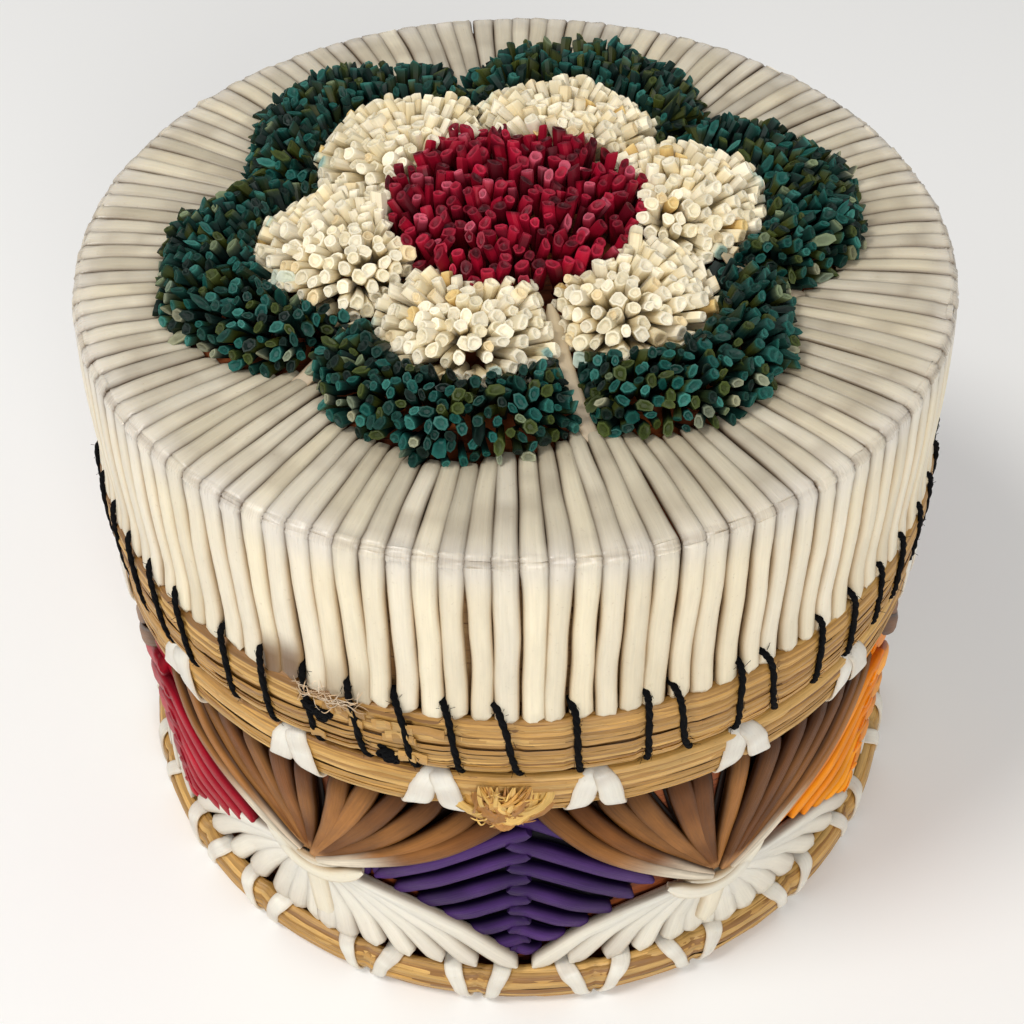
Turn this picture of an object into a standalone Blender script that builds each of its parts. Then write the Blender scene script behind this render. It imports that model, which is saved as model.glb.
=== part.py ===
"""A round lidded quillwork sewing basket, in metres, +Z up, with its origin at the centre of its underside.

Two birch bark cylinders make the basket: an outer wall that carries the quillwork, and an inner sleeve that
stands above it and guides the lid.  The lid is a bark disc on a bark wall, wrapped in white quills, with a
tufted quill flower on top.  Sweetgrass rims bind the foot, the shoulder and the lid's lower edge, and each
rim carries a thread or a row of quill splints wound round it.
"""

from math import asin, cos, pi, radians, sin, sqrt

import bmesh
import bpy

# Driving dimensions.
GAP = 0.0003  # clearance between pieces that touch
SEGMENTS = 48  # facets round each turned piece
SECTORS = 6  # the quillwork repeats every sixth of a turn

WALL_RADIUS = 0.0458  # outer face of the bark walls of basket and lid
WALL_THICKNESS = 0.0011
WALL_TOP = 0.0443
SLEEVE_THICKNESS = 0.0010
SLEEVE_TOP = 0.0660
LID_PLAY = 0.0004  # the lid's sliding fit over the sleeve
FLOOR_THICKNESS = 0.0014
LINING_THICKNESS = 0.0008

LID_BOTTOM = 0.0449
LID_TOP = 0.0744  # upper face of the lid's bark disc
LID_DISC_THICKNESS = 0.0012

BINDING_THICKNESS = 0.0004
FOOT_RIM = (0.0499, 0.0008, 0.0050)  # outer radius, bottom, top
SHOULDER_RIM = (0.0480, 0.0390, 0.0439)
LID_RIM = (0.0484, 0.0456, 0.0550)
FOOT_SPLINTS = 22  # pairs that make a V
FOOT_SPLINT_TURN = radians(-97)  # the middle of the first pair
SHOULDER_SPLINTS = 18  # pairs that make an inverted V
SHOULDER_SPLINT_TURN = radians(-81)
LID_STITCHES = 56

QUILL_HEIGHT = 0.0015  # how far a quill stands off the bark
VALLEY_HEIGHT = 0.0007  # where two neighbouring quills meet
QUILL_WIDTH = 0.0024
LID_QUILLS = 120

FAN_CENTRE_Z = 0.0192
FAN_HUB = 0.0027
BROWN_QUILLS = 12
WHITE_QUILLS = 11
TIE_HALF_LENGTH = 0.0040
TIE_HALF_HEIGHT = 0.0012
CHEVRONS = 7
DIAMOND_TOP_Z = 0.0364
DIAMOND_SIDE_Z = 0.0212
DIAMOND_BOTTOM_Z = 0.0078
DIAMOND_HALF_WIDTH = 0.0168

FLOWER_TURN = radians(12)  # the first petal's direction
FLOWER_CENTRE_RADIUS = 0.0132
WHITE_LOBE_DISTANCE = 0.0175
WHITE_LOBE_RADIUS = 0.0098
GREEN_LOBE_DISTANCE = 0.0215
GREEN_LOBE_RADIUS = 0.0163
PETAL_SIDE_CLEARANCE = 0.0009
CENTRE_HEIGHT = 0.0070
WHITE_PETAL_HEIGHT = 0.0060
GREEN_PETAL_HEIGHT = 0.0052
NOTCH_QUILL_WIDTH = 0.0010

# Sizes that follow from them.
SECTOR = 2 * pi / SECTORS
SLEEVE_RADIUS = WALL_RADIUS - WALL_THICKNESS - GAP
SLEEVE_BOTTOM = FLOOR_THICKNESS + GAP
LID_INNER_RADIUS = SLEEVE_RADIUS + LID_PLAY
LID_DISC_BOTTOM = LID_TOP - LID_DISC_THICKNESS
TUFT_BASE = LID_TOP + GAP
QUILL_BASE_RADIUS = WALL_RADIUS + GAP
RIM_INNER_RADIUS = WALL_RADIUS + 2 * GAP + BINDING_THICKNESS
BINDING_REACH = GAP + BINDING_THICKNESS  # how far a binding stands outside its rim

COLOURS = {
    "bark": (0.36, 0.16, 0.06),
    "bark_lining": (0.62, 0.42, 0.22),
    "sweetgrass": (0.62, 0.44, 0.18),
    "white_quill": (0.82, 0.76, 0.64),
    "brown_quill": (0.38, 0.20, 0.09),
    "purple_quill": (0.13, 0.05, 0.22),
    "crimson_quill": (0.55, 0.02, 0.08),
    "orange_quill": (0.86, 0.38, 0.02),
    "green_quill": (0.02, 0.14, 0.12),
    "black_thread": (0.01, 0.01, 0.012),
}
QUILL_ROUGHNESS = 0.35
PLAIN_ROUGHNESS = 0.7


def clear_scene():
    for old in list(bpy.data.objects):
        bpy.data.objects.remove(old)


def material(slot):
    """The Principled material of one slot, made the first time it is asked for."""
    made = bpy.data.materials.get(slot)
    if made is None:
        made = bpy.data.materials.new(slot)
        made.use_nodes = True
        shader = made.node_tree.nodes["Principled BSDF"]
        shader.inputs["Base Color"].default_value = (*COLOURS[slot], 1)
        shader.inputs["Roughness"].default_value = QUILL_ROUGHNESS if "quill" in slot else PLAIN_ROUGHNESS
        shader.inputs["Metallic"].default_value = 0
    return made


def place(name, bm, slot, body):
    """Turns the mesh being built into one named object, under the empty of the body that carries it."""
    bmesh.ops.recalc_face_normals(bm, faces=bm.faces)
    mesh = bpy.data.meshes.new(name)
    bm.to_mesh(mesh)
    bm.free()
    mesh.materials.append(material(slot))
    mesh.shade_smooth()
    mesh.set_sharp_from_angle(angle=radians(35))
    made = bpy.data.objects.new(name, mesh)
    made.parent = body
    bpy.context.scene.collection.objects.link(made)
    return made


def turned(name, profile, slot, body):
    """A solid turned about Z from a closed outline of (radius, height) points."""
    bm = bmesh.new()
    points = [bm.verts.new((radius, 0, height)) for radius, height in profile]
    outline = [bm.edges.new(pair) for pair in zip(points, points[1:] + points[:1])]
    bmesh.ops.spin(
        bm,
        geom=points + outline,
        cent=(0, 0, 0),
        axis=(0, 0, 1),
        angle=2 * pi,
        steps=SEGMENTS,
        use_merge=True,
    )
    bmesh.ops.remove_doubles(bm, verts=bm.verts, dist=GAP / 10)
    place(name, bm, slot, body)


def disc(name, radius, bottom, top, slot, body):
    """A flat round plate, whose corners line up with those of the turned pieces."""
    bm = bmesh.new()
    rings = []
    for height in (bottom, top):
        turns = [2 * pi * i / SEGMENTS for i in range(SEGMENTS)]
        rings.append([(radius * cos(turn), radius * sin(turn), height) for turn in turns])
    add_loft(bm, rings)
    place(name, bm, slot, body)


def tube(name, radius, thickness, bottom, top, slot, body):
    """An upright bark cylinder, open at both ends."""
    inner = radius - thickness
    turned(name, [(inner, bottom), (radius, bottom), (radius, top), (inner, top)], slot, body)


def add_loft(bm, sections, closed=False):
    """Adds one body that runs through matching rings of points, and back to the first if it is closed."""
    rings = [[bm.verts.new(point) for point in section] for section in sections]
    count = len(rings[0])
    following = rings[1:] + rings[:1] if closed else rings[1:]
    for near, far in zip(rings, following):
        for i in range(count):
            after = (i + 1) % count
            bm.faces.new((near[i], near[after], far[after], far[i]))
    if not closed:
        bm.faces.new(list(reversed(rings[0])))
        bm.faces.new(rings[-1])


def add_ridged_skin(bm, valleys, crowns):
    """Adds one body of quills that lie side by side.

    Each valley is a run of (under, over) points where two quills meet, and each crown, one fewer of them, is the
    run of points along the top of the quill between two valleys.
    """
    under = [[bm.verts.new(point) for point, _ in valley] for valley in valleys]
    over = [[bm.verts.new(point) for _, point in valley] for valley in valleys]
    ridge = [[bm.verts.new(point) for point in crown] for crown in crowns]
    last = len(under[0]) - 1
    for i, crown in enumerate(ridge):
        for j in range(last):
            bm.faces.new((over[i][j], crown[j], crown[j + 1], over[i][j + 1]))
            bm.faces.new((crown[j], over[i + 1][j], over[i + 1][j + 1], crown[j + 1]))
            bm.faces.new((under[i][j], under[i][j + 1], under[i + 1][j + 1], under[i + 1][j]))
        for j in (0, last):
            bm.faces.new((under[i][j], under[i + 1][j], over[i + 1][j], crown[j], over[i][j]))
    for i in (0, len(ridge)):
        for j in range(last):
            bm.faces.new((under[i][j], over[i][j], over[i][j + 1], under[i][j + 1]))


def on_wall(angle, along, height, lift):
    """The point at a distance along the wall from an angle, at a height and a lift off the bark."""
    turn, radius = angle + along / WALL_RADIUS, QUILL_BASE_RADIUS + lift
    return (radius * cos(turn), radius * sin(turn), height)


def make_basket_shell(body):
    """The bark pieces that hold the basket's contents."""
    disc("bottom_disc", SLEEVE_RADIUS, 0, FLOOR_THICKNESS, "bark", body)
    tube("outer_wall", WALL_RADIUS, WALL_THICKNESS, 0, WALL_TOP, "bark", body)
    tube("inner_sleeve", SLEEVE_RADIUS, SLEEVE_THICKNESS, SLEEVE_BOTTOM, SLEEVE_TOP, "bark_lining", body)
    lining_radius = SLEEVE_RADIUS - SLEEVE_THICKNESS - GAP
    disc("bottom_lining", lining_radius, SLEEVE_BOTTOM, SLEEVE_BOTTOM + LINING_THICKNESS, "bark_lining", body)


def make_rim(name, size, body):
    """A bundle of sweetgrass laid round the wall, with its outer corners rounded off."""
    outer, bottom, top = size
    bevel = 0.0006
    profile = [
        (RIM_INNER_RADIUS, bottom),
        (outer - bevel, bottom),
        (outer, bottom + bevel),
        (outer, top - bevel),
        (outer - bevel, top),
        (RIM_INNER_RADIUS, top),
    ]
    turned(name, profile, "sweetgrass", body)


def make_binding(name, size, passes, width, slot, body):
    """One strand wound round a rim.

    Each pass crosses the rim's outer face from an angle at the top to an angle at the bottom.  The strand then
    climbs the rim's inner face to the next pass, and the last pass leads back to the first.
    """
    outer, bottom, top = size
    steps = 3

    def section(turn, radius, height, out, up):
        """Two points GAP off the rim and one point outside them."""
        near_radius, near_height = radius + out * GAP, height + up * GAP
        far_radius, far_height = radius + out * BINDING_REACH, height + up * BINDING_REACH
        half = width / 2
        return [
            (near_radius * cos(turn) + half * sin(turn), near_radius * sin(turn) - half * cos(turn), near_height),
            (near_radius * cos(turn) - half * sin(turn), near_radius * sin(turn) + half * cos(turn), near_height),
            (far_radius * cos(turn), far_radius * sin(turn), far_height),
        ]

    sections = []
    following = passes[1:] + [(passes[0][0] + 2 * pi, passes[0][1] + 2 * pi)]
    for (top_turn, bottom_turn), (next_turn, _) in zip(passes, following):
        sections.append(section(top_turn, outer, top, 1, 1))
        sections.append(section(bottom_turn, outer, bottom, 1, -1))
        sections.append(section(bottom_turn, RIM_INNER_RADIUS, bottom, -1, -1))
        if next_turn - bottom_turn > radians(8):
            for step in range(1, steps):
                share = step / steps
                turn = bottom_turn + (next_turn - bottom_turn) * share
                sections.append(section(turn, RIM_INNER_RADIUS, bottom + (top - bottom) * share, -1, 0))
        sections.append(section(next_turn, RIM_INNER_RADIUS, top, -1, 1))
    bm = bmesh.new()
    add_loft(bm, sections, closed=True)
    place(name, bm, slot, body)


def splint_pairs(count, first, size, top_spread, bottom_spread):
    """The passes of a binding whose outer legs lean in pairs.

    A pair's legs stand apart by twice the spread, at the top and at the bottom of the rim.
    """
    outer = size[0]
    passes = []
    for pair in range(count):
        middle = first + 2 * pi * pair / count
        for side in (-1, 1):
            passes.append((middle + side * top_spread / outer, middle + side * bottom_spread / outer))
    return passes


def make_bindings(basket, lid):
    foot = splint_pairs(FOOT_SPLINTS, FOOT_SPLINT_TURN, FOOT_RIM, 0.0034, 0.0011)
    make_binding("foot_rim_binding", FOOT_RIM, foot, 0.0016, "white_quill", basket)
    shoulder = splint_pairs(SHOULDER_SPLINTS, SHOULDER_SPLINT_TURN, SHOULDER_RIM, 0.0010, 0.0026)
    make_binding("shoulder_rim_binding", SHOULDER_RIM, shoulder, 0.0016, "white_quill", basket)
    pitch = 2 * pi / LID_STITCHES
    lean = 0.0007 / LID_RIM[0]
    stitches = [(pitch * i - lean, pitch * i + lean) for i in range(LID_STITCHES)]
    make_binding("lid_rim_thread", LID_RIM, stitches, 0.0009, "black_thread", lid)


def fan_edges(count, reach, end_height):
    """For each edge and each middle of a fan's quills, its points from the hub out, in order across the fan."""
    rows = []
    for i in range(2 * count + 1):
        along = reach * (i / count - 1)
        rise = end_height - FAN_CENTRE_Z
        length = sqrt(along**2 + rise**2)
        tip = 1 if i % 2 else 1 - 0.0006 / length
        start = FAN_HUB / length
        shares = [start + (tip - start) * step / 3 for step in range(4)]
        rows.append([(along * share, FAN_CENTRE_Z + rise * share) for share in shares])
    return rows


def make_fan(name, angle, rows, slot, body):
    """A fan of quills that narrow towards the tie at its hub."""
    valleys = [
        [(on_wall(angle, *point, 0), on_wall(angle, *point, VALLEY_HEIGHT)) for point in row]
        for row in rows[::2]
    ]
    crowns = [[on_wall(angle, *point, QUILL_HEIGHT) for point in row] for row in rows[1::2]]
    bm = bmesh.new()
    add_ridged_skin(bm, valleys, crowns)
    place(name, bm, slot, body)


def make_tie(name, angle, body):
    """The flat white quill wound across a fan's hub."""
    bm = bmesh.new()
    sections = []
    for along in (-TIE_HALF_LENGTH, 0, TIE_HALF_LENGTH):
        corners = [(-1, 0), (1, 0), (0.5, QUILL_HEIGHT), (-0.5, QUILL_HEIGHT)]
        sections.append(
            [on_wall(angle, along, FAN_CENTRE_Z + up * TIE_HALF_HEIGHT, lift) for up, lift in corners]
        )
    add_loft(bm, sections)
    place(name, bm, "white_quill", body)


def make_fans(body):
    """Between neighbouring diamonds, a brown fan opens up to the shoulder and a white one down to the foot."""
    reach = SECTOR / 2 * WALL_RADIUS - 0.0009
    brown_top = SHOULDER_RIM[1] - BINDING_REACH - 0.0006
    white_bottom = FOOT_RIM[2] + BINDING_REACH + 0.0006
    for number in range(SECTORS):
        angle = SECTOR * number
        brown = fan_edges(BROWN_QUILLS, reach, brown_top)
        white = fan_edges(WHITE_QUILLS, reach, white_bottom)
        make_fan(f"brown_fan_{number + 1}", angle, brown, "brown_quill", body)
        make_fan(f"white_fan_{number + 1}", angle, white, "white_quill", body)
        make_tie(f"fan_tie_{number + 1}", angle, body)


def make_chevrons(name, angle, slot, body):
    """Chevrons stacked in a diamond: quills that rise from its lower sides to its middle line."""
    upper_slope = (DIAMOND_TOP_Z - DIAMOND_SIDE_Z) / DIAMOND_HALF_WIDTH
    lower_slope = (DIAMOND_SIDE_Z - DIAMOND_BOTTOM_Z) / DIAMOND_HALF_WIDTH
    tail = 0.0014
    pitch = (DIAMOND_TOP_Z - DIAMOND_BOTTOM_Z - tail) / CHEVRONS
    rows = []
    for i in range(2 * CHEVRONS + 1):
        apex = DIAMOND_TOP_Z - pitch * i / 2
        half = (apex - DIAMOND_BOTTOM_Z) / (upper_slope + lower_slope)
        rows.append(
            [(half * share, apex - upper_slope * half * abs(share)) for share in (-1, -0.5, 0, 0.5, 1)]
        )
    make_fan(name, angle, rows, slot, body)


def make_diamonds(body):
    colours = ("purple", "orange", "crimson")
    for number in range(SECTORS):
        colour = colours[number % len(colours)]
        name = f"{colour}_chevrons_{number // len(colours) + 1}"
        make_chevrons(name, -pi / 2 + SECTOR * number, f"{colour}_quill", body)


def make_lid_shell(body):
    """The lid's bark wall, its disc and the lining that hides the quill ends."""
    thickness = WALL_RADIUS - LID_INNER_RADIUS
    tube("lid_wall", WALL_RADIUS, thickness, LID_BOTTOM, LID_DISC_BOTTOM - GAP, "bark", body)
    disc("lid_disc", WALL_RADIUS, LID_DISC_BOTTOM, LID_TOP, "bark", body)
    lining_top = LID_DISC_BOTTOM - GAP
    disc("lid_lining", LID_INNER_RADIUS - GAP, lining_top - LINING_THICKNESS, lining_top, "bark_lining", body)


def lobe_edge(distance, radius, turn):
    """How far from the lid's centre a petal's round edge lies, at a turn from the petal's middle."""
    return distance * cos(turn) + sqrt(radius**2 - (distance * sin(turn)) ** 2)


def turn_from_petal(angle):
    """The signed turn from the nearest petal's middle to an angle."""
    return (angle - FLOWER_TURN + SECTOR / 2) % SECTOR - SECTOR / 2


def lid_quill_run(angle, lift):
    """The points of a line along a lid quill: at the flower, at the fold over the edge, and above the rim."""
    start = lobe_edge(GREEN_LOBE_DISTANCE, GREEN_LOBE_RADIUS, turn_from_petal(angle)) + 0.0007
    end = LID_RIM[2] + BINDING_REACH + GAP
    stations = [
        (start, TUFT_BASE + lift),
        (QUILL_BASE_RADIUS + lift, TUFT_BASE + lift),
        (QUILL_BASE_RADIUS + lift, end),
    ]
    return [(radius * cos(angle), radius * sin(angle), height) for radius, height in stations]


def make_lid_quills(body):
    """White quills that run out from the flower, bend over the lid's edge and end above its rim."""
    per_sector = LID_QUILLS // SECTORS
    pitch = 2 * pi / LID_QUILLS
    side_gap = GAP / 2 / 0.03
    for number in range(SECTORS):
        start = FLOWER_TURN + SECTOR * (number - 0.5)
        valley_turns = [start + pitch * i for i in range(per_sector + 1)]
        valley_turns[0] += side_gap
        valley_turns[-1] -= side_gap
        valleys = [
            list(zip(lid_quill_run(turn, 0), lid_quill_run(turn, VALLEY_HEIGHT))) for turn in valley_turns
        ]
        crowns = [lid_quill_run(start + pitch * (i + 0.5), QUILL_HEIGHT) for i in range(per_sector)]
        bm = bmesh.new()
        add_ridged_skin(bm, valleys, crowns)
        place(f"lid_quills_{number + 1}", bm, "white_quill", body)


def make_flower_centre(body):
    radius, base, height = FLOWER_CENTRE_RADIUS, TUFT_BASE, CENTRE_HEIGHT
    profile = [
        (0, base),
        (radius, base),
        (radius, base + 0.7 * height),
        (radius * 0.7, base + 0.92 * height),
        (0, base + height),
    ]
    turned("flower_centre", profile, "crimson_quill", body)


def make_petal(name, angle, inner_edge, outer_edge, height, slot, body):
    """One tufted petal between two edges, each a function of the turn from the petal's middle."""
    bm = bmesh.new()
    steps, crown = 8, 0.0008
    near, far = inner_edge(SECTOR / 2), outer_edge(SECTOR / 2)
    near_turn = SECTOR / 2 - asin(PETAL_SIDE_CLEARANCE / near)
    far_turn = SECTOR / 2 - asin(PETAL_SIDE_CLEARANCE / far)
    sections = []
    for step in range(steps + 1):
        share = 2 * step / steps - 1
        near_at, far_at = share * near_turn, share * far_turn
        inner, outer = inner_edge(near_at), outer_edge(far_at)
        corners = [
            (inner, near_at, TUFT_BASE),
            (outer, far_at, TUFT_BASE),
            (outer - crown, far_at, TUFT_BASE + height),
            (inner + crown, near_at, TUFT_BASE + height),
        ]
        sections.append([(r * cos(angle + at), r * sin(angle + at), z) for r, at, z in corners])
    add_loft(bm, sections)
    place(name, bm, slot, body)


def make_petals(body):
    def centre_edge(turn):
        return FLOWER_CENTRE_RADIUS + 0.0005

    def white_edge(turn):
        return lobe_edge(WHITE_LOBE_DISTANCE, WHITE_LOBE_RADIUS, turn)

    def green_inner_edge(turn):
        return white_edge(turn) + 0.0005

    def green_edge(turn):
        return lobe_edge(GREEN_LOBE_DISTANCE, GREEN_LOBE_RADIUS, turn)

    for number in range(SECTORS):
        angle = FLOWER_TURN + SECTOR * number
        white, green = f"white_petal_{number + 1}", f"green_petal_{number + 1}"
        make_petal(white, angle, centre_edge, white_edge, WHITE_PETAL_HEIGHT, "white_quill", body)
        make_petal(green, angle, green_inner_edge, green_edge, GREEN_PETAL_HEIGHT, "green_quill", body)


def make_notch_quill(body):
    """The flat white quill that lies between the two front petals."""
    angle = FLOWER_TURN - 1.5 * SECTOR
    half, thickness = NOTCH_QUILL_WIDTH / 2, 0.0008
    bm = bmesh.new()
    sections = []
    for radius in (FLOWER_CENTRE_RADIUS + 0.0008, 0.0305):
        corners = [(-half, 0), (half, 0), (half, thickness), (-half, thickness)]
        sections.append(
            [
                (radius * cos(angle) - side * sin(angle), radius * sin(angle) + side * cos(angle), TUFT_BASE + rise)
                for side, rise in corners
            ]
        )
    add_loft(bm, sections)
    place("notch_quill", bm, "white_quill", body)


def make_body(name):
    empty = bpy.data.objects.new(name, None)
    bpy.context.scene.collection.objects.link(empty)
    return empty


def main():
    clear_scene()
    basket = make_body("basket")
    lid = make_body("lid")
    make_basket_shell(basket)
    make_rim("foot_rim", FOOT_RIM, basket)
    make_rim("shoulder_rim", SHOULDER_RIM, basket)
    make_fans(basket)
    make_diamonds(basket)
    make_lid_shell(lid)
    make_rim("lid_rim", LID_RIM, lid)
    make_bindings(basket, lid)
    make_lid_quills(lid)
    make_flower_centre(lid)
    make_petals(lid)
    make_notch_quill(lid)


main()
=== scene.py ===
"""The looks of a quilled birch bark sewing basket: quills, sweetgrass, thread and bark, +Z up.

Lengths are in millimetres until a mesh is built.  Angles are in degrees from +X, counter-clockwise
seen from above, and turns are the same in radians.
"""

import math

import bpy
import numpy as np
from mathutils import Matrix, Vector


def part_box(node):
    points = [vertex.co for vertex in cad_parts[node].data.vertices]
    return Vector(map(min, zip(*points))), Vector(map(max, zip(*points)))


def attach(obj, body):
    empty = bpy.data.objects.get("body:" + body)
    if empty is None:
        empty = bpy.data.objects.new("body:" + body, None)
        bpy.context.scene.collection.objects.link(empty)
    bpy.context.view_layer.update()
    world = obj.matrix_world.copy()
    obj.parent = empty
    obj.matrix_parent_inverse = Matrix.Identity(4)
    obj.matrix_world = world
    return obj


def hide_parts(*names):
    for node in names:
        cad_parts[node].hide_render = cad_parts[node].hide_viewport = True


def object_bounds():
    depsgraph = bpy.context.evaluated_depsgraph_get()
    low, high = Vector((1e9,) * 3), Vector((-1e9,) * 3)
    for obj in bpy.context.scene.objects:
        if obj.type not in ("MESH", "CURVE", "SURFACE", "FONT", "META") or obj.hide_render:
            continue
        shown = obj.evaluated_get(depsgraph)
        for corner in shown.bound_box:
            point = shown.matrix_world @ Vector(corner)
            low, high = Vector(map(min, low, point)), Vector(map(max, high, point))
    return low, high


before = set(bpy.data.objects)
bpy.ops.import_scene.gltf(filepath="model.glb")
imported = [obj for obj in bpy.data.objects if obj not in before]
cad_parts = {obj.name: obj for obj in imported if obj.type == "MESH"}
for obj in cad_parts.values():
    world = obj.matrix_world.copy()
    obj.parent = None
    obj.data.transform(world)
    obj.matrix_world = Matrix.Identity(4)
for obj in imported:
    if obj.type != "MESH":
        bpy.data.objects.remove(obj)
cad_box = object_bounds()

MM = 0.001
UP = np.array([0, 0, 1.0])
FRONT = -90.0
SECTORS = 6
SECTOR = 360 / SECTORS
rng = np.random.default_rng(11)
draw = rng.uniform


def jitter(spread, shape=None):
    return rng.normal(0, spread, shape)


def box_mm(node):
    low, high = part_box(node)
    return np.array(low) / MM, np.array(high) / MM


def link(name, data):
    """Puts a mesh, a lamp or a camera into the scene."""
    thing = bpy.data.objects.new(name, data)
    bpy.context.scene.collection.objects.link(thing)
    return thing


WALL_R = box_mm("outer_wall")[1][0]
LID_TOP = box_mm("lid_disc")[1][2]
FOOT_LOW, FOOT_HIGH = (corner[2] for corner in box_mm("foot_rim"))
SHOULDER_LOW, SHOULDER_HIGH = (corner[2] for corner in box_mm("shoulder_rim"))
LID_RIM_LOW, LID_RIM_HIGH = (corner[2] for corner in box_mm("lid_rim"))


# ---- Colours ----


def srgb(red, green, blue):
    """Linear colour of an sRGB one given from 0 to 255."""
    value = np.array([red, green, blue]) / 255
    return np.where(value <= 0.04045, value / 12.92, ((value + 0.055) / 1.055) ** 2.4)


IVORY = srgb(232, 222, 200)
IVORY_SHADE = srgb(205, 188, 155)
IVORY_WARM = srgb(240, 226, 190)
CHALK = srgb(232, 227, 214)
CHALK_SHADE = srgb(196, 184, 170)
# painted shade at a flat quill's edges, where it curves away and meets the next
QUILL_EDGE_SHADE = srgb(176, 146, 104)
SCORCH = np.array([0.17, 0.09, 0.035])  # what a scorch leaves of each of red, green and blue
GRASS = (
    srgb(208, 164, 92), srgb(188, 142, 72), srgb(172, 126, 58), srgb(198, 150, 76),
    srgb(144, 100, 44),
)
BROWN = srgb(112, 66, 28)
# painted shade for the brown fans: a dark layer under the quills, their tucked ends and edges
BROWN_SHADE = srgb(40, 18, 6)
BROWN_LIGHT = srgb(162, 108, 54)
THREAD = srgb(9, 9, 11)
DYES = (  # a diamond's colour, pale and deep
    ("purple", srgb(78, 46, 108), srgb(26, 10, 54)),
    ("orange", srgb(255, 166, 0), srgb(216, 96, 0)),
    ("crimson", srgb(190, 0, 38), srgb(112, 0, 20)),
)


def mix(a, b, share):
    share = np.asarray(share)[..., None]
    return a * (1 - share) + b * share


# ---- Shares and waves ----


def smooth(low, high, value):
    """A soft step from 0 at low to 1 at high."""
    t = np.clip((np.asarray(value, float) - low) / (high - low), 0, 1)
    return t * t * (3 - 2 * t)


def bell(distance, width):
    return np.exp(-((distance / width) ** 2))


def arch(share):
    return np.sin(np.pi * share)


def taper(distance, over, least):
    """A rounded end: what is left of a strand's width at a distance from its end."""
    return np.sqrt(np.clip(distance / over, least, 1))


def wander(along, amount, wavelength):
    """A smooth random wave along a strand."""
    total = np.zeros_like(along, dtype=float)
    for octave in range(3):
        phase = draw(0, 2 * np.pi)
        total += np.sin(2 * np.pi * along * (octave + 0.7) / wavelength + phase) / (octave + 1)
    return total * amount / 1.8


def wrap(angle):
    """An angle in degrees, brought between -180 and 180."""
    return (angle + 180) % 360 - 180


def unit(vectors):
    return vectors / np.maximum(np.linalg.norm(vectors, axis=-1, keepdims=True), 1e-12)


def outward_at(turn):
    """The direction away from the basket's axis at each turn."""
    return np.stack([np.cos(turn), np.sin(turn), np.zeros_like(turn)], -1)


def ring(turn, radius, height):
    """Points round the basket's axis, and the direction outward at each."""
    outward = outward_at(turn)
    points = outward * np.asarray(radius)[..., None]
    points[..., 2] = height
    return points, outward


# ---- Meshes of many strands ----


def round_section(count):
    turn = np.linspace(0, 2 * np.pi, count, endpoint=False)
    return np.stack([np.cos(turn), np.sin(turn)], 1)


def flat_section(count, across, up):
    """A flattened tube: the smaller the powers, the fuller its edges and the more level its top."""
    c, s = round_section(count).T
    return np.stack([np.sign(c) * np.abs(c) ** across, np.sign(s) * np.abs(s) ** up], 1)


QUILL_SECTION = flat_section(14, 0.58, 0.85)
BLADE_SECTION = flat_section(6, 0.8, 0.8)


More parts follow.
